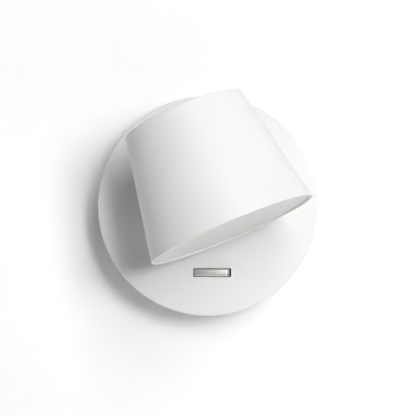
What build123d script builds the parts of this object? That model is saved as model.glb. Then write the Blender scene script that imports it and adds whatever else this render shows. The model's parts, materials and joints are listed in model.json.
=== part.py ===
from build123d import *
import os
from math import cos, radians, sin, sqrt, tan

# Wall spotlight: a round wall cup, a turning neck and a truncated-cone head.
# Millimetres. The wall is the plane Y = 0, the room is towards -Y, X is right and Z is up.
# The origin is the middle of the cup's rear rim. Depth is the distance in front of the wall.

os.makedirs("parts", exist_ok=True)

# Wall cup
plate_r = 75.0
plate_depth = 35.0
plate_edge_r = 1.0
cover_wall = 1.6
cover_face = 2.0
inner_depth = plate_depth - cover_face
inner_r = plate_r - cover_wall

# Pose of the head in the photograph
turn = 22.9
lean = 6.9
lean_min = 3.9
lean_max = 89.9

# Head
mouth_r = 56.2
top_r = 40.6
head_len = 81.7
shell_t = 2.2
top_edge_r = 0.7
rim_edge_r = 0.4

# Swivel and tilt
swivel_z = 22.5
pivot_rise = 59.0
pivot_depth = plate_depth + pivot_rise
pivot_u = 40.0
run_gap = 0.05
face_gap = 0.1
free_gap = 0.4

# Metric screws: shank radius, head radius, head height
m2 = (1.0, 1.7, 1.2)
m25 = (1.25, 2.2, 1.5)
m3 = (1.5, 2.75, 2.0)
m4 = (2.0, 3.6, 2.5)
slip = 0.1

# Wall bracket
bracket_t = 1.5
ear_out = inner_r - 0.6
strap_short = 6.8
strap_half = ear_out - strap_short
strap_high = 26.0
ear_high = 14.0
ear_tall = 12.0
ear_screw_depth = 8.0
wall_hole_gap = 60.0
wall_slot_len = 10.0
wall_slot_w = 4.6
inlet_hole_r = 8.0
inlet_r = 4.0

# Rocker switch, in the place it has in the photograph
switch_x = 3.1
switch_z = -45.4
switch_open_l = 25.7
switch_open_h = 5.9
rock = 8.0
rocker_sink = 4.0
rocker_proud = 3.0
rocker_pivot_depth = plate_depth - rocker_sink
rocker_round_r = switch_open_l / 2 - 0.65
rocker_half_h = switch_open_h / 2 - 0.5
rocker_crown_long = 100.0
rocker_crown_across = 8.0
rocker_edge_r = 0.8
rocker_pin_r = 1.0

# Directions of the head at rest: along it to the mouth, across it, and away from the wall
S = Vector(sin(radians(turn)), 0, -cos(radians(turn)))
N = Vector(0, -1, 0)
V = Vector(cos(radians(turn)), 0, sin(radians(turn)))
U = S * cos(radians(lean)) + N * sin(radians(lean))
W = N * cos(radians(lean)) - S * sin(radians(lean))
pivot = Vector(0, -pivot_depth, swivel_z)
top_centre = pivot - U * pivot_u
head_axis = Axis(top_centre, U)
swivel_axis = Axis((0, 0, swivel_z), (0, -1, 0))

trough_normal = U * cos(radians(lean_min)) - W * sin(radians(lean_min))
flare = (mouth_r - top_r) / head_len
wall_across = shell_t * sqrt(1 + flare * flare)


def front(depth):
    """Plane parallel to the wall at a depth, facing the room: local x is right and local y is up."""
    return Plane(origin=(0, -depth, 0), x_dir=(1, 0, 0), z_dir=(0, -1, 0))


def across(u):
    """Plane square to the head's axis, u from its closed end: local x is V and local y is W."""
    return Plane(origin=top_centre + U * u, x_dir=V, z_dir=U)


def lengthwise(v):
    """Plane along the head, v from its middle: local x is W and local y is the distance u."""
    return Plane(origin=top_centre + V * v, x_dir=W, z_dir=V)


def upright(z):
    """Level plane at height z: local x is right and local y is minus the depth."""
    return Plane(origin=(0, 0, z), x_dir=(1, 0, 0), z_dir=(0, 0, 1))


def r_in(u):
    """Radius of the shell's inner cone, u from the closed end."""
    return top_r + flare * u - wall_across


def polar(radius, angles):
    """Points on a circle at the given angles in degrees."""
    return [(radius * cos(radians(a)), radius * sin(radians(a))) for a in angles]


def pan_screws(plane, points, size, shank):
    """Slotted pan-head screws standing on a plane, heads on its normal's side and shanks behind it."""
    shank_r, head_r, head_h = size
    with BuildPart() as made:
        with BuildSketch(plane):
            with Locations(*points):
                Circle(head_r)
        extrude(amount=head_h)
        fillet(made.edges().group_by(Axis(plane.origin, plane.z_dir))[-1], radius=head_h * 0.35)
        with BuildSketch(plane.offset(head_h * 0.45)):
            with Locations(*points):
                Rectangle(head_r * 3, head_r * 0.3)
        extrude(amount=head_h, mode=Mode.SUBTRACT)
        with BuildSketch(plane):
            with Locations(*points):
                Circle(shank_r)
        extrude(amount=-shank)
    return made.part


def lead(points, radius, bend):
    """Round insulated lead along straight runs joined by tangent arcs."""
    with BuildPart() as made:
        with BuildLine() as route:
            FilletPolyline(*points, radius=bend)
        with BuildSketch(Plane(origin=route.line @ 0, z_dir=route.line % 0)):
            Circle(radius)
        sweep()
    return made.part


def at(x, depth, z):
    """Point from its place on the wall and its depth."""
    return (x, -depth, z)


# Swivel stack, as depths from the wall
bush_flange_t = 1.0
spigot_r = 6.0
bush_r = 8.0
collar_r = 9.3
collar_t = 1.5
neck_r = 8.0
collar_depth = plate_depth + bush_flange_t + face_gap
washer_t = 1.0
washer_depth = inner_depth - washer_t
stop_t = 1.5
stop_depth = washer_depth - face_gap - stop_t
stop_r = 12.0
stop_reach = 17.0
stop_tab_w = 6.0
stop_pin_r = 1.5
stop_pin_at = 15.0
stop_pin_seat = 1.2
spring_high = 1.5
spring_t = 0.6
nut_t = 5.0
nut_across = 18.0
nut_depth = stop_depth - spring_high - nut_t
spigot_end = nut_depth - 2.4
flat_half = 5.3
neck_bore_r = 4.0
exit_depth = pivot_depth - 17.0
exit_r = 3.0

# Knuckle in the head
eye_r = 9.0
eye_half = neck_r + 0.4
pin_r = 3.0
trough_half = 10.0
trough_r = eye_r + 0.6
trough_t = 2.0
slot_corner_r = 2.5
tilt_head_r = 5.0
tilt_head_t = 4.0
tilt_nut_across = 10.0
tilt_nut_t = 5.0
housing_ear_u = 10.0
housing_ear_t = 2.5
housing_ear_v = 18.0
housing_ear_w = -17.0
lead_hole_along = 18.0
lead_hole_r = 3.0

# Light engine in the head
sink_u = 54.0
sink_t = 3.0
post_r = 3.5
post_u = 34.0
post_bite = 1.65
post_hole = 10.0
post_at = r_in(post_u) + post_bite - post_r
post_angles = (90, 210, 330)
board_gap = 2.25
board_r = post_at - m3[1] - board_gap
board_t = 1.6
board_u = sink_u + sink_t
board_rim = 5.0
board_screw_at = board_r - board_rim
board_angles = (30, 150, 270)
flange_w = 8.0
flange_in = board_r - flange_w
flange_t = 1.2
chip_u = board_u + board_t
diffuser_recess = 1.2
diffuser_t = 2.0
diffuser_u = head_len - diffuser_recess
diffuser_gap = 0.35
skirt_t = 1.6
skirt_u = diffuser_u - 6.9
bead_u = diffuser_u - 5.2
bead_w = 1.2
groove_extra = 0.4
groove_deep = 0.75
groove_cut = 10.0
wire_r = 1.0
cable_r = 1.8
head_lead_r = 1.3


def trough_outline(radius, far_w, far_u):
    """Sketch of the trough's outline in the plane along the head: two straight walls tangent to a round floor
    about the tilt axis, open to the rear and to the closed end."""
    low = radians(lean_min)
    mid = radians(45 - lean_min / 2)
    run = (far_w - radius * sin(low)) / cos(low)
    floor_end = (-radius * sin(low), pivot_u + radius * cos(low))
    far_end = (-far_w, floor_end[1] - run * sin(low))
    with BuildSketch() as made:
        with BuildLine():
            Line((radius, far_u), (radius, pivot_u))
            ThreePointArc((radius, pivot_u), (radius * sin(mid), pivot_u + radius * cos(mid)), floor_end)
            Polyline(floor_end, far_end, (far_end[0], far_u), (radius, far_u))
        make_face()
    return made.sketch


def trough_space():
    """The space inside the trough, out past the shell, with its floor's long corners rounded."""
    with BuildPart() as made:
        outline = lengthwise(-trough_half) * trough_outline(trough_r, mouth_r + 10, -10)
        extrude(outline, amount=2 * trough_half, dir=V)
        corners = []
        for edge in made.edges():
            place = edge.center() - pivot
            out_u, out_w = place.dot(U), place.dot(W)
            floor_gaps = (out_w, sqrt(out_u * out_u + out_w * out_w), place.dot(trough_normal))
            at_side = abs(abs(place.dot(V)) - trough_half) < 0.01
            if at_side and any(abs(gap - trough_r) < 0.01 for gap in floor_gaps):
                corners.append(edge)
        fillet(corners, radius=slot_corner_r)
    return made.part


# The round cup that covers the fixing
driver_inset = 26.0
driver_x = driver_inset - plate_r
driver_w = 28.0
driver_h = 58.0
driver_back = 7.0
driver_lid_t = 1.5
driver_wall = 1.6
driver_ear_z = driver_h / 2 + 4.5
switch_ear_x = 19.5
boss_r = 3.2
boss_depth = inner_depth - 4.0
ear_t = 2.5
boss_hole = 3.5
driver_points = [(driver_x, driver_ear_z), (driver_x, -driver_ear_z)]
switch_points = [(switch_x - switch_ear_x, switch_z), (switch_x + switch_ear_x, switch_z)]

with BuildPart() as wall_cover:
    with BuildSketch(front(0)):
        Circle(plate_r)
    extrude(amount=plate_depth)
    fillet(wall_cover.edges().group_by(Axis.Y)[0], radius=plate_edge_r)
    with BuildSketch(front(0)):
        Circle(inner_r)
    extrude(amount=inner_depth, mode=Mode.SUBTRACT)
    with BuildSketch(front(boss_depth)):
        with Locations(*driver_points, *switch_points):
            Circle(boss_r)
    extrude(amount=inner_depth - boss_depth)
    with BuildSketch(front(boss_depth)):
        with Locations(*driver_points):
            Circle(m3[0])
        with Locations(*switch_points):
            Circle(m25[0])
    extrude(amount=boss_hole, mode=Mode.SUBTRACT)
    with BuildSketch(front(inner_depth)):
        with Locations((0, swivel_z)):
            Circle(bush_r)
        with Locations((switch_x, switch_z)):
            RectangleRounded(switch_open_l, switch_open_h, 0.4)
    extrude(amount=cover_face, mode=Mode.SUBTRACT)
    with BuildSketch(front(inner_depth)):
        with Locations((0, swivel_z + stop_pin_at)):
            Circle(stop_pin_r)
    extrude(amount=stop_pin_seat, mode=Mode.SUBTRACT)
    with BuildSketch(Plane(origin=(0, -ear_screw_depth, 0), z_dir=(1, 0, 0))):
        Circle(m4[0])
    extrude(amount=plate_r + 5, both=True, mode=Mode.SUBTRACT)
wall_cover.part.label = "wall_cover"
export_step(wall_cover.part, "parts/wall_cover.step")

# Steel strap that stays on the wall
earth_point = (-18.0, -8.0)
block_inset = 17.0
block_x = strap_half - block_inset
block_w = 18.0
block_h = 24.0
block_t = 12.0
block_points = [(block_x, -4.0), (block_x, 4.0)]

with BuildPart() as wall_bracket:
    with BuildSketch(front(0)):
        RectangleRounded(2 * strap_half, strap_high, 4)
        Rectangle(2 * ear_out, ear_high)
        with Locations((-wall_hole_gap / 2, 0), (wall_hole_gap / 2, 0)):
            SlotOverall(wall_slot_len, wall_slot_w, mode=Mode.SUBTRACT)
        Circle(inlet_hole_r, mode=Mode.SUBTRACT)
        with Locations(earth_point):
            Circle(m4[0], mode=Mode.SUBTRACT)
        with Locations(*block_points):
            Circle(m2[0], mode=Mode.SUBTRACT)
    extrude(amount=bracket_t)
    with BuildSketch(front(bracket_t)):
        with Locations((ear_out - bracket_t / 2, 0), (bracket_t / 2 - ear_out, 0)):
            Rectangle(bracket_t, ear_high)
    extrude(amount=ear_tall)
    with BuildSketch(Plane(origin=(0, -ear_screw_depth, 0), z_dir=(1, 0, 0))):
        Circle(m4[0])
    extrude(amount=plate_r, both=True, mode=Mode.SUBTRACT)
    bends = wall_bracket.edges().filter_by(Axis.Z).group_by(Axis.Y)[-1]
    fillet(bends.filter_by(lambda e: abs(abs(e.center().X) - ear_out) < 0.01), radius=bracket_t * 0.9)
wall_bracket.part.label = "wall_bracket"
export_step(wall_bracket.part, "parts/wall_bracket.step")

# Headless set screws through the cup's side into the strap's ears
set_screw_len = 8.0
set_screw_end = plate_r - 0.4
with BuildPart() as cover_screws:
    for side in (1, -1):
        end = Plane(origin=(side * set_screw_end, -ear_screw_depth, 0), x_dir=(0, 0, 1), z_dir=(side, 0, 0))
        with BuildSketch(end):
            Circle(m4[0])
        extrude(amount=-set_screw_len)
        with BuildSketch(end):
            Rectangle(2 * m4[0], 0.7)
        extrude(amount=-1.2, mode=Mode.SUBTRACT)
cover_screws.part.label = "cover_screws"
export_step(cover_screws.part, "parts/cover_screws.step")

# Rubber bush for the supply cable
grommet_flange_r = 10.0
grommet_flange_t = 1.5
with BuildPart() as cable_grommet:
    with BuildSketch(front(0)):
        Circle(inlet_hole_r)
    extrude(amount=bracket_t)
    with BuildSketch(front(bracket_t)):
        Circle(grommet_flange_r)
    extrude(amount=grommet_flange_t)
    fillet(cable_grommet.edges().group_by(Axis.Y)[0], radius=0.6)
    with BuildSketch(front(0)):
        Circle(inlet_r)
    extrude(amount=bracket_t + grommet_flange_t, mode=Mode.SUBTRACT)
cable_grommet.part.label = "cable_grommet"
export_step(cable_grommet.part, "parts/cable_grommet.step")

# Three-pole terminal block
pole_z = (-8.0, 0.0, 8.0)
pole_depth = bracket_t + 5.0
clamp_r = 2.6
clamp_bore_r = 1.6
clamp_half = 7.0
clamp_screw_x = (block_x - 4.0, block_x + 4.0)
well_r = 2.0
clamp_points = [(x, z) for x in clamp_screw_x for z in pole_z]
block_face = bracket_t + block_t
block_side = Plane(origin=(block_x, -pole_depth, 0), x_dir=(0, 0, 1), z_dir=(1, 0, 0))

with BuildPart() as terminal_block:
    with BuildSketch(front(bracket_t)):
        with Locations((block_x, 0)):
            RectangleRounded(block_w, block_h, 1)
    extrude(amount=block_t)
    with BuildSketch(block_side):
        with Locations(*[(z, 0) for z in pole_z]):
            Circle(clamp_r)
    extrude(amount=block_w, both=True, mode=Mode.SUBTRACT)
    with BuildSketch(front(pole_depth)):
        with Locations(*clamp_points):
            Circle(well_r)
    extrude(amount=block_t, mode=Mode.SUBTRACT)
    with BuildSketch(front(bracket_t)):
        with Locations(*block_points):
            Circle(m2[0])
    extrude(amount=block_t, mode=Mode.SUBTRACT)
terminal_block.part.label = "terminal_block"
export_step(terminal_block.part, "parts/terminal_block.step")

with BuildPart() as terminal_clamps:
    with BuildSketch(block_side):
        with Locations(*[(z, 0) for z in pole_z]):
            Circle(clamp_r)
            Circle(clamp_bore_r, mode=Mode.SUBTRACT)
    extrude(amount=clamp_half, both=True)
    with BuildSketch(front(pole_depth)):
        with Locations(*clamp_points):
            Circle(m25[0])
    extrude(amount=block_t, mode=Mode.SUBTRACT)
terminal_clamps.part.label = "terminal_clamps"
export_step(terminal_clamps.part, "parts/terminal_clamps.step")

clamp_screw_seat = pole_depth + clamp_r + 1.2
clamp_screw = (m25[0], well_r - slip, 1.5)
clamp_screw_len = 2.6
with BuildPart() as terminal_screws:
    add(pan_screws(front(clamp_screw_seat), clamp_points, clamp_screw, clamp_screw_len))
terminal_screws.part.label = "terminal_screws"
export_step(terminal_screws.part, "parts/terminal_screws.step")

with BuildPart() as block_screws:
    add(pan_screws(front(block_face), block_points, m2, block_t + bracket_t))
block_screws.part.label = "block_screws"
export_step(block_screws.part, "parts/block_screws.step")

lug_t = 1.0
with BuildPart() as earth_screw:
    add(pan_screws(front(bracket_t + lug_t), [earth_point], m4, bracket_t + lug_t))
earth_screw.part.label = "earth_screw"
export_step(earth_screw.part, "parts/earth_screw.step")

# LED driver on the back of the cup's face
driver_hole_r = wire_r + 0.15
driver_lead_depth = 12.0
driver_lead_end = driver_h / 2 - 9.0
driver_lead_z = (-driver_lead_end, 8.0, driver_lead_end)
driver_side_x = driver_x + driver_w / 2
driver_inside = inner_depth - driver_wall
driver_board_t = 1.6
driver_board_depth = 10.0
coil_w = 14.0
coil_h = 13.0
coil_t = 7.5
coil_z = 6.0
strip_w = 12.0
strip_h = 5.0
strip_z = 7.0 - driver_h / 2
can_r = 3.8
can_t = 8.5
can_apart = 9.0
can_z = -11.0
output_can_z = driver_h / 2 - 9.0

with BuildPart() as driver_case:
    with BuildSketch(front(driver_back)):
        with Locations((driver_x, 0)):
            RectangleRounded(driver_w, driver_h, 2)
    extrude(amount=inner_depth - driver_back)
    with BuildSketch(front(boss_depth - ear_t)):
        with Locations((driver_x, 0)):
            SlotOverall(2 * driver_ear_z + 9, 9, rotation=90)
    extrude(amount=ear_t)
    with BuildSketch(front(driver_back)):
        with Locations((driver_x, 0)):
            Rectangle(driver_w - 2 * driver_wall, driver_h - 2 * driver_wall)
    extrude(amount=driver_inside - driver_back, mode=Mode.SUBTRACT)
    with BuildSketch(front(driver_board_depth + driver_board_t)):
        with Locations((driver_x, 0)):
            with GridLocations(driver_w - 8, driver_h - 8, 2, 2):
                Circle(1.8)
    extrude(amount=driver_inside - driver_board_depth - driver_board_t)
    with BuildSketch(front(boss_depth - ear_t)):
        with Locations(*driver_points):
            Circle(m3[0] + slip)
    extrude(amount=ear_t, mode=Mode.SUBTRACT)
    with BuildSketch(Plane(origin=(driver_side_x, -driver_lead_depth, 0), x_dir=(0, 0, 1), z_dir=(1, 0, 0))):
        with Locations((driver_lead_z[0], 0), (driver_lead_z[1], 0)):
            Circle(driver_hole_r)
        with Locations((driver_lead_z[2], 0)):
            Circle(cable_r + 0.15)
    extrude(amount=-driver_wall, mode=Mode.SUBTRACT)
driver_case.part.label = "driver_case"
export_step(driver_case.part, "parts/driver_case.step")

with BuildPart() as driver_lid:
    with BuildSketch(front(driver_back - driver_lid_t)):
        with Locations((driver_x, 0)):
            RectangleRounded(driver_w, driver_h, 2)
    extrude(amount=driver_lid_t)
    fillet(driver_lid.edges().group_by(Axis.Y)[-1], radius=0.5)
driver_lid.part.label = "driver_lid"
export_step(driver_lid.part, "parts/driver_lid.step")

with BuildPart() as driver_board:
    with BuildSketch(front(driver_board_depth)):
        with Locations((driver_x, 0)):
            Rectangle(driver_w - 2 * driver_wall - 0.4, driver_h - 2 * driver_wall - 0.4)
    extrude(amount=driver_board_t)
    board_top = driver_board_depth + driver_board_t
    with BuildSketch(front(board_top)):
        with Locations((driver_x, coil_z)):
            Rectangle(coil_w, coil_h)
        with Locations((driver_x, strip_z)):
            Rectangle(strip_w, strip_h)
    extrude(amount=coil_t)
    with BuildSketch(front(board_top)):
        with Locations((driver_x - can_apart / 2, can_z), (driver_x + can_apart / 2, can_z)):
            Circle(can_r)
        with Locations((driver_x, output_can_z)):
            Circle(can_r)
    extrude(amount=can_t)
driver_board.part.label = "driver_board"
export_step(driver_board.part, "parts/driver_board.step")

with BuildPart() as driver_screws:
    back_of_ears = Plane(origin=(0, -(boss_depth - ear_t), 0), x_dir=(1, 0, 0), z_dir=(0, 1, 0))
    driver_seats = [(x, -z) for x, z in driver_points]
    add(pan_screws(back_of_ears, driver_seats, m3, ear_t + boss_hole - 0.3))
driver_screws.part.label = "driver_screws"
export_step(driver_screws.part, "parts/driver_screws.step")

# Rocker switch
housing_half_l = switch_open_l / 2 + 2.6
housing_half_h = switch_open_h / 2 + 2.2
housing_back = 8.0
cavity_floor = rocker_pivot_depth - 4.7
tab_x = 6.0
tab_w = 4.8
tab_t = 0.8
tab_out = 2.5
tab_in = 3.0
rocker_plane = Plane(
    origin=(switch_x, -rocker_pivot_depth, switch_z),
    x_dir=(cos(radians(rock)), -sin(radians(rock)), 0),
    z_dir=(0, 0, -1),
)

with BuildPart() as switch_housing:
    with BuildSketch(front(housing_back)):
        with Locations((switch_x, switch_z)):
            RectangleRounded(2 * housing_half_l, 2 * housing_half_h, 0.8)
    extrude(amount=inner_depth - housing_back)
    with BuildSketch(front(boss_depth - ear_t)):
        with Locations((switch_x, switch_z)):
            SlotOverall(2 * switch_ear_x + 7, 7)
    extrude(amount=ear_t)
    with BuildSketch(front(cavity_floor)):
        with Locations((switch_x, switch_z)):
            Rectangle(switch_open_l + 0.4, switch_open_h)
    extrude(amount=inner_depth - cavity_floor, mode=Mode.SUBTRACT)
    with BuildSketch(front(boss_depth - ear_t)):
        with Locations(*switch_points):
            Circle(m25[0] + slip)
    extrude(amount=ear_t, mode=Mode.SUBTRACT)
    with BuildSketch(upright(switch_z)):
        with Locations((switch_x, -rocker_pivot_depth)):
            Circle(rocker_pin_r)
    extrude(amount=2 * housing_half_h, both=True, mode=Mode.SUBTRACT)
    with BuildSketch(front(housing_back)):
        with Locations((switch_x - tab_x, switch_z), (switch_x + tab_x, switch_z)):
            Rectangle(tab_t, tab_w)
    extrude(amount=tab_in, mode=Mode.SUBTRACT)
switch_housing.part.label = "switch_housing"
export_step(switch_housing.part, "parts/switch_housing.step")

with BuildPart() as rocker_pin:
    with BuildSketch(upright(switch_z)):
        with Locations((switch_x, -rocker_pivot_depth)):
            Circle(rocker_pin_r)
    extrude(amount=housing_half_h - 0.3, both=True)
rocker_pin.part.label = "rocker_pin"
export_step(rocker_pin.part, "parts/rocker_pin.step")

with BuildPart() as switch_terminals:
    with BuildSketch(front(tab_out)):
        with Locations((switch_x - tab_x, switch_z), (switch_x + tab_x, switch_z)):
            Rectangle(tab_t, tab_w)
    extrude(amount=housing_back + tab_in - tab_out)
switch_terminals.part.label = "switch_terminals"
export_step(switch_terminals.part, "parts/switch_terminals.step")

with BuildPart() as switch_screws:
    switch_seats = [(x, -z) for x, z in switch_points]
    add(pan_screws(back_of_ears, switch_seats, m25, ear_t + boss_hole - 0.3))
switch_screws.part.label = "switch_screws"
export_step(switch_screws.part, "parts/switch_screws.step")

# Rocker: its foot is round about the pin, its ends lean in by the angle it rocks, so that the end that is
# pressed in stands square to the plate, and its face is crowned both ways
with BuildPart() as rocker:
    rocker_top = rocker_sink + rocker_proud
    rocker_low = -2.5
    end_x = rocker_round_r * cos(radians(rock))
    end_y = rocker_round_r * sin(radians(rock))
    end_in = (rocker_top - end_y) * tan(radians(rock))
    with BuildSketch(rocker_plane):
        Circle(rocker_round_r)
        with BuildLine():
            Polyline(
                (end_x, end_y),
                (end_x - end_in, rocker_top),
                (end_in - end_x, rocker_top),
                (-end_x, end_y),
                (end_x, end_y),
            )
        make_face()
        with Locations((0, (rocker_top + rocker_low) / 2)):
            Rectangle(3 * rocker_round_r, rocker_top - rocker_low, mode=Mode.INTERSECT)
        Circle(rocker_pin_r + run_gap, mode=Mode.SUBTRACT)
    extrude(amount=rocker_half_h, both=True)
    rocker_out = Axis(rocker_plane.origin, rocker_plane.y_dir)
    crown_drop = rocker_crown_across - sqrt(rocker_crown_across**2 - rocker_half_h**2)
    with BuildSketch(Plane(origin=rocker_plane.origin, x_dir=(0, 0, 1), z_dir=rocker_plane.x_dir)):
        with BuildLine():
            side_top = rocker_top - crown_drop
            side_low = rocker_low - rocker_round_r
            ThreePointArc((-rocker_half_h, side_top), (0, rocker_top), (rocker_half_h, side_top))
            Polyline(
                (rocker_half_h, side_top),
                (rocker_half_h, side_low),
                (-rocker_half_h, side_low),
                (-rocker_half_h, side_top),
            )
        make_face()
    crown_middle = rocker_plane.origin + rocker_plane.y_dir * (rocker_top - rocker_crown_long)
    revolve(axis=Axis(crown_middle, (0, 0, 1)), mode=Mode.INTERSECT)
    fillet(rocker.faces().sort_by(rocker_out)[-1].edges(), radius=rocker_edge_r)
rocker.part.label = "rocker"
export_step(rocker.part, "parts/rocker.step")

# Swivel
with BuildPart() as swivel_bush:
    with BuildSketch(front(inner_depth)):
        with Locations((0, swivel_z)):
            Circle(bush_r)
    extrude(amount=cover_face)
    with BuildSketch(front(plate_depth)):
        with Locations((0, swivel_z)):
            Circle(collar_r)
    extrude(amount=bush_flange_t)
    with BuildSketch(front(inner_depth)):
        with Locations((0, swivel_z)):
            Circle(spigot_r + run_gap)
    extrude(amount=cover_face + bush_flange_t, mode=Mode.SUBTRACT)
swivel_bush.part.label = "swivel_bush"
export_step(swivel_bush.part, "parts/swivel_bush.step")

with BuildPart() as friction_washer:
    with BuildSketch(front(washer_depth)):
        with Locations((0, swivel_z)):
            Circle(stop_r + 1)
            Circle(spigot_r + free_gap, mode=Mode.SUBTRACT)
    extrude(amount=washer_t)
friction_washer.part.label = "friction_washer"
export_step(friction_washer.part, "parts/friction_washer.step")

with BuildPart() as stop_pin:
    with BuildSketch(front(stop_depth - 1)):
        with Locations((0, swivel_z + stop_pin_at)):
            Circle(stop_pin_r)
    extrude(amount=inner_depth + stop_pin_seat - stop_depth + 1)
stop_pin.part.label = "stop_pin"
export_step(stop_pin.part, "parts/stop_pin.step")

with BuildPart() as neck:
    with BuildSketch(front(spigot_end)):
        with Locations((0, swivel_z)):
            Circle(spigot_r)
            Rectangle(2 * flat_half, 3 * spigot_r, rotation=turn, mode=Mode.INTERSECT)
    extrude(amount=washer_depth - spigot_end)
    with BuildSketch(front(washer_depth)):
        with Locations((0, swivel_z)):
            Circle(spigot_r)
    extrude(amount=collar_depth - washer_depth)
    with BuildSketch(front(collar_depth)):
        with Locations((0, swivel_z)):
            Circle(collar_r)
    extrude(amount=collar_t)
    with BuildSketch(front(collar_depth + collar_t)):
        with Locations((0, swivel_z)):
            Circle(neck_r)
    extrude(amount=pivot_depth - collar_depth - collar_t)
    with BuildSketch(Plane(origin=pivot, x_dir=S, z_dir=V)):
        Circle(eye_r)
    extrude(amount=eye_half, both=True)
    with BuildSketch(Plane(origin=pivot, x_dir=S, z_dir=V)):
        Circle(pin_r + run_gap)
    extrude(amount=2 * eye_half, both=True, mode=Mode.SUBTRACT)
    with BuildSketch(front(spigot_end)):
        with Locations((0, swivel_z)):
            Circle(neck_bore_r)
    extrude(amount=exit_depth + exit_r + 1 - spigot_end, mode=Mode.SUBTRACT)
    with BuildSketch(Plane(origin=(0, -exit_depth, swivel_z), x_dir=V, z_dir=S)):
        Circle(exit_r)
    extrude(amount=2 * neck_r, mode=Mode.SUBTRACT)
neck.part.label = "neck"
export_step(neck.part, "parts/neck.step")

with BuildPart() as stop_washer:
    with BuildSketch(front(stop_depth)):
        with Locations((0, swivel_z)):
            Circle(stop_r)
        with Locations(Location((0, swivel_z), turn)):
            with Locations((0, -stop_reach / 2)):
                Rectangle(stop_tab_w, stop_reach)
        with BuildSketch(mode=Mode.SUBTRACT):
            with Locations((0, swivel_z)):
                Circle(spigot_r)
                Rectangle(2 * flat_half, 3 * spigot_r, rotation=turn, mode=Mode.INTERSECT)
    extrude(amount=stop_t)
stop_washer.part.label = "stop_washer"
export_step(stop_washer.part, "parts/stop_washer.step")

with BuildPart() as spring_washer:
    with BuildSketch(upright(swivel_z)):
        with BuildLine():
            low = -(stop_depth - spring_high)
            high = -stop_depth
            Polyline(
                (spigot_r, low),
                (stop_r - 1, high + spring_t),
                (stop_r - 1, high),
                (spigot_r, low - spring_t),
                (spigot_r, low),
            )
        make_face()
    revolve(axis=swivel_axis)
spring_washer.part.label = "spring_washer"
export_step(spring_washer.part, "parts/spring_washer.step")

with BuildPart() as swivel_nut:
    with BuildSketch(front(nut_depth)):
        with Locations((0, swivel_z)):
            RegularPolygon(nut_across / 2, 6, major_radius=False, rotation=turn)
            Circle(spigot_r, mode=Mode.SUBTRACT)
    extrude(amount=nut_t)
swivel_nut.part.label = "swivel_nut"
export_step(swivel_nut.part, "parts/swivel_nut.step")

with BuildPart() as neck_lead:
    exit_point = Vector(0, -exit_depth, swivel_z)
    add(lead([at(0, spigot_end + 0.1, swivel_z), exit_point, exit_point + S * (neck_r - 0.5)], cable_r, 4))
neck_lead.part.label = "neck_lead"
export_step(neck_lead.part, "parts/neck_lead.step")

# Head shell: a cup with a slot at its rear and closed end for the neck. Its profile is drawn beside the
# slot, so that the seam of the turned surface is there and not on the front.
with BuildPart() as head_shell:
    seam_side = (V - W).normalized()
    with BuildSketch(Plane(origin=top_centre, x_dir=seam_side, z_dir=seam_side.cross(U))):
        with BuildLine():
            Polyline(
                (0, 0),
                (top_r, 0),
                (mouth_r, head_len),
                (r_in(head_len), head_len),
                (r_in(shell_t), shell_t),
                (0, shell_t),
                (0, 0),
            )
        make_face()
    revolve(axis=head_axis)
    fillet(head_shell.edges().group_by(head_axis)[0], radius=top_edge_r)
    fillet(head_shell.edges().group_by(head_axis)[-1], radius=rim_edge_r)
    with BuildSketch(lengthwise(0)):
        with Locations((r_in(bead_u) + groove_deep - groove_cut / 2, bead_u)):
            Rectangle(groove_cut, bead_w + 2 * groove_extra)
    revolve(axis=head_axis, mode=Mode.SUBTRACT)
    with BuildSketch(across(post_u)):
        with Locations(*polar(post_at, post_angles)):
            Circle(post_r)
    extrude(amount=sink_u - post_u)
    with BuildSketch(across(sink_u - post_hole)):
        with Locations(*polar(post_at, post_angles)):
            Circle(m3[0])
    extrude(amount=post_hole, mode=Mode.SUBTRACT)
    with BuildSketch(across(shell_t)):
        with Locations((housing_ear_v, housing_ear_w), (-housing_ear_v, housing_ear_w)):
            Circle(post_r + 0.5)
    extrude(amount=housing_ear_u - shell_t)
    with BuildSketch(across(shell_t + 1)):
        with Locations((housing_ear_v, housing_ear_w), (-housing_ear_v, housing_ear_w)):
            Circle(m3[0])
    extrude(amount=housing_ear_u - shell_t - 1, mode=Mode.SUBTRACT)
    add(trough_space(), mode=Mode.SUBTRACT)
head_shell.part.label = "head_shell"
export_step(head_shell.part, "parts/head_shell.step")

# Trough behind the slot, which carries the tilt pin
fit_gap = 0.05
trough_wall = trough_half + trough_t
trough_down = U * -sin(radians(lean_min)) - W * cos(radians(lean_min))
lead_hole_at = pivot + trough_normal * trough_r + trough_down * lead_hole_along

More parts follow.
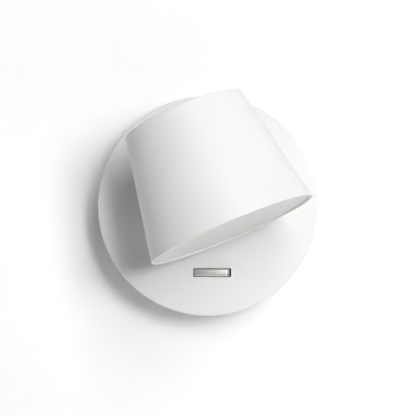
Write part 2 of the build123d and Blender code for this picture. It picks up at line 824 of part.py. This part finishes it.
with BuildPart() as pivot_housing:
    outer_face = lengthwise(-trough_wall) * trough_outline(trough_r + trough_t, mouth_r, 0)
    extrude(outer_face, amount=2 * trough_wall, dir=V)
    add(trough_space(), mode=Mode.SUBTRACT)
    with BuildSketch(across(housing_ear_u)):
        for side in (1, -1):
            with Locations((side * (trough_half + housing_ear_v + 5) / 2 + side * 0.25, housing_ear_w)):
                RectangleRounded(housing_ear_v + 5 - trough_half - 0.5, 10, 1.5)
    extrude(amount=housing_ear_t)
    with BuildSketch(lengthwise(0)):
        with BuildLine():
            Polyline(
                (0, shell_t),
                (r_in(shell_t) - fit_gap, shell_t),
                (r_in(sink_u) - fit_gap, sink_u),
                (0, sink_u),
                (0, shell_t),
            )
        make_face()
    revolve(axis=head_axis, mode=Mode.INTERSECT)
    with BuildSketch(across(housing_ear_u)):
        with Locations((housing_ear_v, housing_ear_w), (-housing_ear_v, housing_ear_w)):
            Circle(m3[0] + slip)
    extrude(amount=housing_ear_t, mode=Mode.SUBTRACT)
    with BuildSketch(Plane(origin=pivot, x_dir=S, z_dir=V)):
        Circle(pin_r)
    extrude(amount=2 * trough_wall, both=True, mode=Mode.SUBTRACT)
    with BuildSketch(Plane(origin=lead_hole_at, x_dir=V, z_dir=trough_normal)):
        Circle(lead_hole_r)
    extrude(amount=trough_t + 0.5, mode=Mode.SUBTRACT)
pivot_housing.part.label = "pivot_housing"
export_step(pivot_housing.part, "parts/pivot_housing.step")

with BuildPart() as housing_screws:
    ear_points = [(housing_ear_v, housing_ear_w), (-housing_ear_v, housing_ear_w)]
    ear_face = housing_ear_u + housing_ear_t
    add(pan_screws(across(ear_face), ear_points, m3, ear_face - shell_t - 1.5))
housing_screws.part.label = "housing_screws"
export_step(housing_screws.part, "parts/housing_screws.step")

with BuildPart() as tilt_pin:
    pin_seat = Plane(origin=pivot + V * trough_wall, x_dir=S, z_dir=V)
    with BuildSketch(pin_seat):
        Circle(tilt_head_r)
    extrude(amount=tilt_head_t)
    with BuildSketch(pin_seat.offset(tilt_head_t)):
        RegularPolygon(2.5, 6, major_radius=False)
    extrude(amount=-2.5, mode=Mode.SUBTRACT)
    with BuildSketch(pin_seat):
        Circle(pin_r)
    extrude(amount=-(2 * trough_wall + tilt_nut_t + 1))
tilt_pin.part.label = "tilt_pin"
export_step(tilt_pin.part, "parts/tilt_pin.step")

with BuildPart() as tilt_nut:
    with BuildSketch(Plane(origin=pivot - V * trough_wall, x_dir=S, z_dir=V)):
        RegularPolygon(tilt_nut_across / 2, 6, major_radius=False)
        Circle(pin_r, mode=Mode.SUBTRACT)
    extrude(amount=-tilt_nut_t)
tilt_nut.part.label = "tilt_nut"
export_step(tilt_nut.part, "parts/tilt_nut.step")

with BuildPart() as tilt_washers:
    for side in (1, -1):
        with BuildSketch(Plane(origin=pivot + V * (side * trough_half), x_dir=S, z_dir=V)):
            Circle(trough_r - slot_corner_r - 0.1)
            Circle(pin_r, mode=Mode.SUBTRACT)
        extrude(amount=-side * (trough_half - eye_half - face_gap))
tilt_washers.part.label = "tilt_washers"
export_step(tilt_washers.part, "parts/tilt_washers.step")

with BuildPart() as lead_grommet:
    with BuildSketch(Plane(origin=lead_hole_at, x_dir=V, z_dir=trough_normal)):
        Circle(lead_hole_r)
    extrude(amount=trough_t)
    with BuildSketch(Plane(origin=lead_hole_at + trough_normal * trough_t, x_dir=V, z_dir=trough_normal)):
        Circle(lead_hole_r + 1.2)
    extrude(amount=1)
    with BuildSketch(Plane(origin=lead_hole_at, x_dir=V, z_dir=trough_normal)):
        Circle(head_lead_r + 0.3)
    extrude(amount=trough_t + 1, mode=Mode.SUBTRACT)
lead_grommet.part.label = "lead_grommet"
export_step(lead_grommet.part, "parts/lead_grommet.step")

# Light engine
lead_hole_w = (lead_hole_at - top_centre).dot(W)
lead_hole_u = (lead_hole_at - top_centre).dot(U)
fin_places = (-24, -16, -8, 0, 8, 16, 24)
fin_w = (15.0, 34.0)
fin_tall = 12.0

with BuildPart() as heat_sink:
    with BuildSketch(lengthwise(0)):
        with BuildLine():
            Polyline(
                (0, sink_u),
                (r_in(sink_u) - slip, sink_u),
                (r_in(board_u) - slip, board_u),
                (0, board_u),
                (0, sink_u),
            )
        make_face()
    revolve(axis=head_axis)
    with BuildSketch(across(sink_u - fin_tall)):
        with Locations(*[(v, (fin_w[0] + fin_w[1]) / 2) for v in fin_places]):
            Rectangle(1.8, fin_w[1] - fin_w[0])
    extrude(amount=fin_tall)
    with BuildSketch(across(sink_u)):
        with Locations(*polar(post_at, post_angles)):
            Circle(m3[0] + slip)
        with Locations(*polar(board_screw_at, board_angles)):
            Circle(m25[0])
        with Locations((0, lead_hole_w)):
            Circle(head_lead_r + 1)
    extrude(amount=sink_t, mode=Mode.SUBTRACT)
heat_sink.part.label = "heat_sink"
export_step(heat_sink.part, "parts/heat_sink.step")

with BuildPart() as heat_sink_screws:
    add(pan_screws(across(board_u), polar(post_at, post_angles), m3, sink_t + post_hole - 1))
heat_sink_screws.part.label = "heat_sink_screws"
export_step(heat_sink_screws.part, "parts/heat_sink_screws.step")

with BuildPart() as led_board:
    with BuildSketch(across(board_u)):
        Circle(board_r)
        with Locations(*polar(board_screw_at, board_angles)):
            Circle(m25[0] + slip, mode=Mode.SUBTRACT)
        with Locations((0, lead_hole_w)):
            Circle(head_lead_r + 1, mode=Mode.SUBTRACT)
    extrude(amount=board_t)
led_board.part.label = "led_board"
export_step(led_board.part, "parts/led_board.step")

chip_l = 3.5
chip_w = 2.8
chip_t = 0.8
outer_ring_r = flange_in - 6.0
inner_ring_r = outer_ring_r / 2
with BuildPart() as led_chips:
    with BuildSketch(across(chip_u)):
        with PolarLocations(inner_ring_r, 6):
            Rectangle(chip_w, chip_l)
        with PolarLocations(outer_ring_r, 12, start_angle=15):
            Rectangle(chip_w, chip_l)
    extrude(amount=chip_t)
led_chips.part.label = "led_chips"
export_step(led_chips.part, "parts/led_chips.step")

connector_w = -5.5
connector_deep = 5.0
connector_tall = 3.5
with BuildPart() as led_connector:
    with BuildSketch(across(chip_u)):
        with Locations((0, connector_w)):
            RectangleRounded(6, connector_deep, 0.4)
    extrude(amount=connector_tall)
led_connector.part.label = "led_connector"
export_step(led_connector.part, "parts/led_connector.step")

with BuildPart() as board_screws:
    screw_seat = chip_u + flange_t
    add(pan_screws(across(screw_seat), polar(board_screw_at, board_angles), m25, flange_t + board_t + sink_t))
board_screws.part.label = "board_screws"
export_step(board_screws.part, "parts/board_screws.step")

reflector_t = 1.2
reflector_out = r_in(skirt_u) - diffuser_gap - skirt_t - free_gap
reflector_u = skirt_u - free_gap
with BuildPart() as reflector:
    with BuildSketch(lengthwise(0)):
        with BuildLine():
            Polyline(
                (flange_in, chip_u),
                (board_r + 0.4, chip_u),
                (reflector_out, reflector_u),
                (reflector_out - reflector_t, reflector_u),
                (board_r - 0.4, chip_u + flange_t),
                (flange_in, chip_u + flange_t),
                (flange_in, chip_u),
            )
        make_face()
    revolve(axis=head_axis)
    with BuildSketch(across(chip_u)):
        with Locations(*polar(board_screw_at, board_angles)):
            Circle(m25[0] + slip)
    extrude(amount=flange_t, mode=Mode.SUBTRACT)
reflector.part.label = "reflector"
export_step(reflector.part, "parts/reflector.step")

# Opal diffuser: a disc with a skirt whose bead snaps into the shell's groove
with BuildPart() as diffuser:
    disc_back = diffuser_u - diffuser_t
    with BuildSketch(lengthwise(0)):
        with BuildLine():
            Polyline(
                (0, diffuser_u),
                (r_in(diffuser_u) - diffuser_gap, diffuser_u),
                (r_in(skirt_u) - diffuser_gap, skirt_u),
                (r_in(skirt_u) - diffuser_gap - skirt_t, skirt_u),
                (r_in(disc_back) - diffuser_gap - skirt_t, disc_back),
                (0, disc_back),
                (0, diffuser_u),
            )
        make_face()
        with Locations((r_in(bead_u) - diffuser_gap, bead_u)):
            Rectangle(1.3, bead_w)
    revolve(axis=head_axis)
diffuser.part.label = "diffuser"
export_step(diffuser.part, "parts/diffuser.step")

with BuildPart() as head_lead:
    lead_top = chip_u + 2.0
    lead_line = top_centre + W * lead_hole_w
    lead_end = top_centre + U * lead_top + W * (connector_w - connector_deep / 2 - 0.1)
    add(lead([lead_line + U * (lead_hole_u + 0.3), lead_line + U * lead_top, lead_end], head_lead_r, 3))
head_lead.part.label = "head_lead"
export_step(head_lead.part, "parts/head_lead.step")

# Leads inside the cup
wire_bend = 4.0
cable_bend = 3.0
wire_in_clamp = block_x - 3.0
tab_edge = switch_z + tab_w / 2 + 0.1
tab_lead_depth = 5.0
driver_in = driver_side_x - driver_wall + 0.1
live_back = 24.0
live_turn_z = -24.0
with BuildPart() as live_lead:
    live_route = [
        at(wire_in_clamp, pole_depth, pole_z[0]),
        at(wire_in_clamp - live_back, pole_depth, pole_z[0]),
        at(switch_x + tab_x, tab_lead_depth, live_turn_z),
        at(switch_x + tab_x, tab_lead_depth, tab_edge),
    ]
    add(lead(live_route, wire_r, wire_bend))
live_lead.part.label = "live_lead"
export_step(live_lead.part, "parts/live_lead.step")

switched_turn_z = -32.0
switched_out = 15.0
with BuildPart() as switched_lead:
    switched_route = [
        at(switch_x - tab_x, tab_lead_depth, tab_edge),
        at(switch_x - tab_x, tab_lead_depth, switched_turn_z),
        at(driver_side_x + switched_out, driver_lead_depth, driver_lead_z[0]),
        at(driver_in, driver_lead_depth, driver_lead_z[0]),
    ]
    add(lead(switched_route, wire_r, wire_bend))
switched_lead.part.label = "switched_lead"
export_step(switched_lead.part, "parts/switched_lead.step")

neutral_z = 13.0
neutral_back = 26.0
neutral_rise = 8.0
neutral_out = 11.0
neutral_fall = 10.0
with BuildPart() as neutral_lead:
    neutral_route = [
        at(wire_in_clamp, pole_depth, pole_z[2]),
        at(wire_in_clamp - neutral_back, pole_depth, pole_z[2]),
        at(wire_in_clamp - neutral_back - neutral_rise, pole_depth, neutral_z),
        at(driver_side_x + neutral_out + neutral_fall, pole_depth, neutral_z),
        at(driver_side_x + neutral_out, driver_lead_depth, driver_lead_z[1]),
        at(driver_in, driver_lead_depth, driver_lead_z[1]),
    ]
    add(lead(neutral_route, wire_r, wire_bend))
neutral_lead.part.label = "neutral_lead"
export_step(neutral_lead.part, "parts/neutral_lead.step")

lug_r = 4.0
lug_depth = bracket_t + wire_r
lug_grip = 0.5
lug_drop = 1.6
earth_back = 8.0
earth_step = 4.0
earth_run = 10.0
earth_z = -5.4
earth_low_z = -11.8
earth_right_x = 9.0
earth_left_x = -10.0
with BuildPart() as earth_lead:
    earth_out = wire_in_clamp - earth_back
    earth_route = [
        at(wire_in_clamp, pole_depth, pole_z[1]),
        at(earth_out, pole_depth, pole_z[1]),
        at(earth_out - earth_step, pole_depth, earth_z),
        at(earth_out - earth_step - earth_run, pole_depth, earth_z),
        at(earth_right_x, lug_depth, earth_low_z),
        at(earth_left_x, lug_depth, earth_low_z),
        at(earth_point[0] + lug_r - lug_grip, lug_depth, earth_point[1] - lug_drop),
    ]
    add(lead(earth_route, wire_r, wire_bend))
    with BuildSketch(front(bracket_t)):
        with Locations(earth_point):
            Circle(lug_r)
    extrude(amount=lug_t)
    with BuildSketch(front(bracket_t)):
        with Locations(earth_point):
            Circle(m4[0])
    extrude(amount=lug_t, mode=Mode.SUBTRACT)
earth_lead.part.label = "earth_lead"
export_step(earth_lead.part, "parts/earth_lead.step")

output_out = 9.0
output_left_x = -14.0
output_depth = 6.5
with BuildPart() as output_lead:
    output_route = [
        at(driver_in, driver_lead_depth, driver_lead_z[2]),
        at(driver_side_x + output_out, driver_lead_depth, driver_lead_z[2]),
        at(output_left_x, output_depth, swivel_z),
        at(0, output_depth, swivel_z),
        at(0, spigot_end - 0.3, swivel_z),
    ]
    add(lead(output_route, cable_r, cable_bend))
output_lead.part.label = "output_lead"
export_step(output_lead.part, "parts/output_lead.step")
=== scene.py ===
import json
import math

import bpy
import numpy as np
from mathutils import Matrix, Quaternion, Vector


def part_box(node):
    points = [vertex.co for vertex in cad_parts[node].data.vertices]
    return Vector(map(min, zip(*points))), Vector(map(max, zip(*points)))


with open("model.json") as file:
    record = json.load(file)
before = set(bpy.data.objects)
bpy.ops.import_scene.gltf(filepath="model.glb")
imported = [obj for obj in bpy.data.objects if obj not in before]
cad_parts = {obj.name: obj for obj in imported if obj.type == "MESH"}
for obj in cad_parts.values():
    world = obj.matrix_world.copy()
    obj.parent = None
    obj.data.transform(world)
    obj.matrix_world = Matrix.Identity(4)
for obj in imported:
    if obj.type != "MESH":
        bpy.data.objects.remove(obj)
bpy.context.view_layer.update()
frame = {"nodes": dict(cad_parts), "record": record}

# Wall spotlight in metres: the wall is the plane Y = 0, the room is towards -Y, X is right and Z is up.
MM = 0.001
NODES = frame["nodes"]
COVER_LOW, COVER_HIGH = (np.array(corner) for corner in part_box("wall_cover"))
PLATE_R = COVER_HIGH[0]
PLATE_FACE_Y = COVER_LOW[1]

# Most of a noise pattern's values lie between these two.
NOISE_LOW = 0.3
NOISE_HIGH = 0.7


# Finishes

def linear(code):
    """An sRGB hex colour as linear red, green, blue and alpha."""
    c = np.array([int(code[k:k + 2], 16) for k in (1, 3, 5)]) / 255
    rgb = np.where(c <= 0.04045, c / 12.92, ((c + 0.055) / 1.055) ** 2.4)
    return (*rgb.tolist(), 1.0)


def per_mm(size):
    """Pattern scale on coordinates in metres for marks this many millimetres apart."""
    return 1000 / size


def add_node(tree, kind, inputs=None, **settings):
    """Adds a node with its settings, and gives each named input a value or a link."""
    node = tree.nodes.new(kind)
    for name, value in settings.items():
        setattr(node, name, value)
    for name, value in (inputs or {}).items():
        if isinstance(value, bpy.types.NodeSocket):
            tree.links.new(value, node.inputs[name])
        else:
            node.inputs[name].default_value = value
    return node


def start_finish(name, **even):
    """A new material with its even values on the shader, and the piece's own coordinates."""
    material = bpy.data.materials.new(name)
    material.use_nodes = True
    tree = material.node_tree
    shader = tree.nodes["Principled BSDF"]
    for key, value in even.items():
        shader.inputs[key.replace("_", " ")].default_value = value
    places = add_node(tree, "ShaderNodeTexCoord").outputs["Object"]
    return material, tree, shader, places


def finish(name, tones, drift_mm, roughness, skin_mm, relief_mm, run=(1, 1, 1), **even):
    """A made surface: colour drifts between two tones in clouds of drift_mm, and a skin with grains of
    skin_mm moves the roughness between two values and stands up by relief_mm. A small number in run draws
    the marks out along that axis, as brushing, rolling and drawing do."""
    material, tree, shader, places = start_finish(name, **even)
    drawn = add_node(tree, "ShaderNodeMapping", {"Vector": places, "Scale": run}).outputs["Vector"]
    clouds = add_node(tree, "ShaderNodeTexNoise", {"Vector": drawn, "Scale": per_mm(drift_mm), "Detail": 3.0})
    tone = add_node(tree, "ShaderNodeValToRGB", {"Fac": clouds.outputs["Fac"]})
    for stop, place, code in zip(tone.color_ramp.elements, (NOISE_LOW, NOISE_HIGH), tones):
        stop.position = place
        stop.color = linear(code)
    tree.links.new(tone.outputs["Color"], shader.inputs["Base Color"])
    skin = add_node(tree, "ShaderNodeTexNoise", {"Vector": drawn, "Scale": per_mm(skin_mm), "Detail": 2.0})
    spread = {"Value": skin.outputs["Fac"], "From Min": NOISE_LOW, "From Max": NOISE_HIGH,
              "To Min": roughness[0], "To Max": roughness[1]}
    gloss = add_node(tree, "ShaderNodeMapRange", spread)
    tree.links.new(gloss.outputs["Result"], shader.inputs["Roughness"])
    bump = add_node(tree, "ShaderNodeBump",
                    {"Height": skin.outputs["Fac"], "Distance": relief_mm * MM, "Strength": 0.5})
    tree.links.new(bump.outputs["Normal"], shader.inputs["Normal"])
    return material


# The earth wire's yellow half faces this way, and takes in the faces this near to it or nearer.
YELLOW_SIDE = (0.0, -0.75, 0.66)
YELLOW_FROM = 0.25
LUG_REACH = 4.6 * MM


def earth_insulation(lug_place):
    """Soft PVC in green and yellow halves, and a tinned copper lug: the two colours run along the wire, and
    the lug is the flat metal within its reach of the screw."""
    material, tree, shader, places = start_finish("earth_insulation", IOR=1.53)
    faces = add_node(tree, "ShaderNodeNewGeometry").outputs["Normal"]
    side = add_node(tree, "ShaderNodeVectorMath", {0: faces, 1: YELLOW_SIDE}, operation="DOT_PRODUCT")
    yellow = add_node(tree, "ShaderNodeMath", {0: side.outputs["Value"], 1: YELLOW_FROM},
                      operation="GREATER_THAN")
    away = add_node(tree, "ShaderNodeVectorMath", {0: places, 1: lug_place}, operation="DISTANCE")
    lug = add_node(tree, "ShaderNodeMath", {0: away.outputs["Value"], 1: LUG_REACH}, operation="LESS_THAN")
    pvc = add_node(tree, "ShaderNodeMix", {0: yellow.outputs[0]}, data_type="RGBA")
    pvc.inputs[6].default_value = linear("#3E7B3A")
    pvc.inputs[7].default_value = linear("#D9C441")
    tone = add_node(tree, "ShaderNodeMix", {0: lug.outputs[0], 6: pvc.outputs[2]}, data_type="RGBA")
    tone.inputs[7].default_value = linear("#C3C2BE")
    tree.links.new(tone.outputs[2], shader.inputs["Base Color"])
    tree.links.new(lug.outputs[0], shader.inputs["Metallic"])
    skin = add_node(tree, "ShaderNodeTexNoise", {"Vector": places, "Scale": per_mm(1.0)})
    gloss = add_node(tree, "ShaderNodeMapRange",
                     {"Value": skin.outputs["Fac"], "To Min": 0.34, "To Max": 0.48})
    tree.links.new(gloss.outputs["Result"], shader.inputs["Roughness"])
    return material


def finishes():
    """Every finish of the lamp, by the record's slot, and one more for the wall cover: the same white coat a
    shade darker, as painted shade.
    """
    lug_low, lug_high = (np.array(corner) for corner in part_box("earth_screw"))
    lug_place = tuple(((lug_low + lug_high) / 2).tolist())
    # Polyester powder, sprayed and baked on aluminium: an even matt coat with a faint orange peel. The peel
    # is drawn at 1.6 mm, the coarse end of what such a coat has, so that it just shows.
    powder = dict(drift_mm=40, roughness=(0.5, 0.62), skin_mm=1.6, relief_mm=0.006, IOR=1.5,
                  Specular_IOR_Level=0.4)
    # PVC insulation, pressed round the wire through a die: even colour, low sheen.
    pvc = dict(drift_mm=9, roughness=(0.34, 0.46), skin_mm=0.6, relief_mm=0.003, IOR=1.53)
    return {
        "white_coat": finish("white_powder_coat", ("#DEDEDD", "#E2E2E1"), **powder),
        # The wall cover: the same white powder coat as the head, made a shade greyer as painted shade for the
        # lesser light that falls on the cover.
        "cover_coat_painted_shade": finish("cover_powder_coat_painted_shade", ("#DBDBDA", "#DFDFDE"), **powder),
        # Cast acrylic with white pigment and a satin face: milky, low gloss, a little light inside it.
        "opal": finish("opal_acrylic", ("#D5D5D4", "#D9D9D8"), drift_mm=18, roughness=(0.38, 0.48),
                       skin_mm=0.6, relief_mm=0.002, IOR=1.49, Subsurface_Weight=0.25,
                       Subsurface_Scale=1.5 * MM),
        # Chrome plate, brushed lengthwise: pale metal whose fine lines spread each highlight upright.
        "satin_chrome": finish("satin_chrome_plate", ("#D7D6D4", "#E1E0DE"), drift_mm=0.5,
                               roughness=(0.44, 0.56), skin_mm=0.22, relief_mm=0.003, run=(0.02, 1, 1),
                               Metallic=1.0),
        # Bright zinc on pressed steel: bluish silver with a cloudy bloom from the bath and faint rolling
        # marks.
        "zinc_steel": finish("zinc_plate", ("#A9AEB3", "#C4C6C4"), drift_mm=2.5, roughness=(0.28, 0.46),
                             skin_mm=0.6, relief_mm=0.004, run=(0.3, 1, 1), Metallic=1.0),
        # Spring strip tempered to a dark blue: deep slate metal with straw tints where the heat was less.
        "spring_steel": finish("blued_spring_steel", ("#3F4654", "#6E6A63"), drift_mm=4,
                               roughness=(0.26, 0.4), skin_mm=0.8, relief_mm=0.002, Metallic=1.0),
        # Brass drawn to bar and turned: warm yellow metal, a little browner where it has been handled.
        "brass": finish("drawn_brass", ("#B38B45", "#D8B566"), drift_mm=3, roughness=(0.22, 0.38),
                        skin_mm=0.3, relief_mm=0.002, run=(0.2, 1, 1), Metallic=1.0),
        # Cast and machined aluminium, left bare: light cool metal with broad soft highlights from the tool
        # marks.
        "bare_aluminium": finish("machined_aluminium", ("#BFC2C4", "#D6D8D9"), drift_mm=1.2,
                                 roughness=(0.3, 0.45), skin_mm=0.3, relief_mm=0.004, run=(0.05, 1, 1),
                                 Metallic=1.0),
        # Natural nylon: milky and faintly warm, with a smooth mould skin.
        "white_nylon": finish("natural_nylon", ("#E2DED2", "#ECE8DD"), drift_mm=9, roughness=(0.36, 0.48),
                              skin_mm=0.5, relief_mm=0.003, IOR=1.53, Subsurface_Weight=0.15,
                              Subsurface_Scale=1 * MM),
        # Acetal, turned from rod: dense white and waxy.
        "acetal": finish("turned_acetal", ("#E9E7DF", "#F0EEE8"), drift_mm=9, roughness=(0.3, 0.4),
                         skin_mm=0.3, relief_mm=0.003, IOR=1.48),
        # Polycarbonate from a spark-eroded mould: white with an even fine grain that kills the gloss.
        "driver_plastic": finish("spark_textured_polycarbonate", ("#DDDDDB", "#E6E6E4"), drift_mm=9,
                                 roughness=(0.5, 0.66), skin_mm=0.35, relief_mm=0.015, IOR=1.58),
        # Polycarbonate from a polished mould, filled white: bright, even, half gloss.
        "reflector_white": finish("white_polycarbonate", ("#EFEFED", "#F6F6F4"), drift_mm=9,
                                  roughness=(0.28, 0.38), skin_mm=0.4, relief_mm=0.002, IOR=1.58),
        # Glass-filled black nylon: dull black with a paler fibre bloom.
        "switch_plastic": finish("glass_filled_nylon", ("#171718", "#2A2A2B"), drift_mm=4,
                                 roughness=(0.42, 0.6), skin_mm=0.6, relief_mm=0.008, IOR=1.53),
        # Moulded rubber: matt black with a greyish dusty skin.
        "black_rubber": finish("moulded_rubber", ("#1B1B1B", "#2B2A29"), drift_mm=4,
                               roughness=(0.68, 0.84), skin_mm=0.7, relief_mm=0.012, IOR=1.52),
        "brown_pvc": finish("brown_pvc", ("#5A3524", "#69402C"), **pvc),
        "black_pvc": finish("black_pvc", ("#1A1A1B", "#262627"), **pvc),
        "blue_pvc": finish("blue_pvc", ("#2C57A0", "#3766B4"), **pvc),
        "earth_pvc": earth_insulation(lug_place),
        # Silicone sleeve: soft white that takes dust, with almost no gloss.
        "white_silicone": finish("silicone_sleeve", ("#DEDEDB", "#E9E9E6"), drift_mm=9,
                                 roughness=(0.55, 0.7), skin_mm=0.6, relief_mm=0.004, IOR=1.41),
        # White solder mask screened on an aluminium core: a bright flat coat with a low gloss.
        "board_mask": finish("white_solder_mask", ("#EDEDEA", "#F4F4F1"), drift_mm=9, roughness=(0.3, 0.4),
                             skin_mm=0.5, relief_mm=0.003, IOR=1.5),
        # Green mask on glass laminate: the weave shows faintly through the coat.
        "driver_mask": finish("green_laminate", ("#1E5A36", "#2A6E45"), drift_mm=3, roughness=(0.3, 0.45),
                              skin_mm=0.5, relief_mm=0.005, IOR=1.55),
        # Phosphor in clear silicone: strong yellow with a wet gloss.
        "phosphor": finish("phosphor_gel", ("#E3B93C", "#F0CC55"), drift_mm=2, roughness=(0.12, 0.22),
                           skin_mm=0.3, relief_mm=0.002, IOR=1.41),
    }


def dress_nodes():
    """Gives every CAD node the finish of its slot in the record, and the wall cover a darker copy of the
    white coat as painted shade.
    """
    made = finishes()
    for row in frame["record"]["subparts"]:
        node = NODES[row["node"]]
        node.data.materials.clear()
        # The wall cover takes the white coat a shade darker: painted shade, not a different paint.
        slot = "cover_coat_painted_shade" if row["node"] == "wall_cover" else row["material_slot"]
        node.data.materials.append(made[slot])


# Room: one wall, one floor, one pale card, soft light

WALL_GAP = 0.2 * MM
WALL_HOLE = PLATE_R - 5 * MM
WALL_REACH = 3.0
WALL_STEPS = 96
FLOOR_Z = -1.2
FLOOR_REACH = 12.0
CARD_X = -1.3
CARD_SPAN = (-0.5, 0.35)
SURROUND = 0.06


def sheet(name, points, closed):
    """A mesh object at the origin over a grid of points, joined round each row where closed."""
    rows, columns = points.shape[:2]
    across = columns if closed else columns - 1
    r, c = np.meshgrid(np.arange(rows - 1), np.arange(across), indexing="ij")
    after = (c + 1) % columns
    corners = [r * columns + c, r * columns + after, (r + 1) * columns + after, (r + 1) * columns + c]
    mesh = bpy.data.meshes.new(name)
    mesh.from_pydata(points.reshape(-1, 3).tolist(), [], np.stack(corners, axis=-1).reshape(-1, 4).tolist())
    made = bpy.data.objects.new(name, mesh)
    bpy.context.scene.collection.objects.link(made)
    return made


def wall_sheet():
    """A flat ring on the wall plane: x = r cos a and z = r sin a, with r from the edge to the hole and a all
    the way round. The hole is hidden by the cup and lets light into its open back."""
    radius = np.array([WALL_REACH, WALL_HOLE])[:, None]
    angle = np.linspace(0, 2 * math.pi, WALL_STEPS, endpoint=False)[None, :]
    x = radius * np.cos(angle)
    z = radius * np.sin(angle)
    return sheet("wall", np.stack([x, np.full_like(x, WALL_GAP), z], axis=-1), True)


def floor_sheet():
    """A flat square well below the lamp: X and Y run from edge to edge at one height."""
    y, x = np.meshgrid([-FLOOR_REACH, FLOOR_REACH], [-FLOOR_REACH, FLOOR_REACH], indexing="ij")
    return sheet("floor", np.stack([x, y, np.full_like(x, FLOOR_Z)], axis=-1), False)


def card_sheet():
    """A flat upright card to the left of the lamp: Y and Z run from edge to edge at one X."""
    z, y = np.meshgrid(CARD_SPAN, CARD_SPAN, indexing="ij")
    return sheet("card", np.stack([np.full_like(y, CARD_X), y, z], axis=-1), False)


def plaster(name, tones, one_sided):
    """Smooth emulsion on plaster or card: pale and matt, with a faint roller mottle. A one-sided one is clear
    from behind."""
    material = finish(name, tones, drift_mm=60, roughness=(0.85, 0.95), skin_mm=3.0, relief_mm=0.0,
                      Specular_IOR_Level=0.1)
    if one_sided:
        tree = material.node_tree
        behind = add_node(tree, "ShaderNodeNewGeometry").outputs["Backfacing"]
        clear = add_node(tree, "ShaderNodeBsdfTransparent")
        front = tree.nodes["Principled BSDF"].outputs[0]
        both = add_node(tree, "ShaderNodeMixShader", {0: behind, 1: front, 2: clear.outputs[0]})
        tree.links.new(both.outputs[0], tree.nodes["Material Output"].inputs["Surface"])
    return material


def facing(made, place, aim, lean=0.0):
    """Puts a light or camera at a place, turns it to face a point and leans it by an angle in degrees about
    its line of sight."""
    made.location = place
    made.rotation_mode = "QUATERNION"
    upright = (Vector(aim) - Vector(place)).to_track_quat("-Z", "Y")
    made.rotation_quaternion = upright @ Quaternion((0, 0, 1), math.radians(lean))
    bpy.context.scene.collection.objects.link(made)


def soft_light(name, place, width, height, power, aim=(0, 0, 0), lean=0.0, spread=180):
    """An oblong studio light that faces the lamp or another aim, with its beam inside an angle in degrees."""
    lamp = bpy.data.lights.new(name, "AREA")
    lamp.shape = "RECTANGLE"
    lamp.size = width
    lamp.size_y = height
    lamp.energy = power
    lamp.spread = math.radians(spread)
    facing(bpy.data.objects.new(name, lamp), place, aim, lean)


# The photograph's view, fitted to the plate's circle and the head's outline
SENSOR_MM = 36.0
LENS_MM = 143.3
EYE = (5.7 * MM, PLATE_FACE_Y - 1.128, -0.8 * MM)
AIM = (0.2 * MM, PLATE_FACE_Y, -1.4 * MM)


def camera():
    """Straight in front, from 1.13 m, with a long lens."""
    lens = bpy.data.cameras.new("camera")
    lens.sensor_width = SENSOR_MM
    lens.lens = LENS_MM
    made = bpy.data.objects.new("camera", lens)
    facing(made, EYE, AIM)
    bpy.context.scene.camera = made


def room():
    """Wall, floor, card, lights and a pale surround."""
    wall = wall_sheet()
    wall.data.materials.append(plaster("wall_emulsion", ("#F1F1F1", "#F3F3F3"), True))
    floor = floor_sheet()
    floor.data.materials.append(plaster("floor_emulsion", ("#E8E8E7", "#EAEAE9"), False))
    card = card_sheet()
    card.data.materials.append(plaster("white_card", ("#EAEAEA", "#ECECEC"), False))
    # From the upper right, as the photograph's shadows show
    soft_light("key_light", (0.927, -2.649, 1.06), width=0.95, height=2.3, power=66, lean=19)
    soft_light("core_light", (1.047, -2.757, 0.551), width=0.75, height=0.75, power=28)
    # Into the cup's open back, and on the floor that views from behind look at
    soft_light("back_light", (-0.5, 1.2, 0.5), width=1.2, height=1.2, power=24)
    soft_light("floor_light", (5.6, -5.6, 1.6), width=6.5, height=6.5, power=75,
               aim=(5.6, -5.6, FLOOR_Z), spread=100)
    world = bpy.data.worlds.new("surround")
    world.use_nodes = True
    background = world.node_tree.nodes["Background"]
    background.inputs["Color"].default_value = linear("#FFFFFF")
    background.inputs["Strength"].default_value = SURROUND
    bpy.context.scene.world = world
    bpy.context.scene.view_settings.view_transform = "Standard"


dress_nodes()
room()
camera()
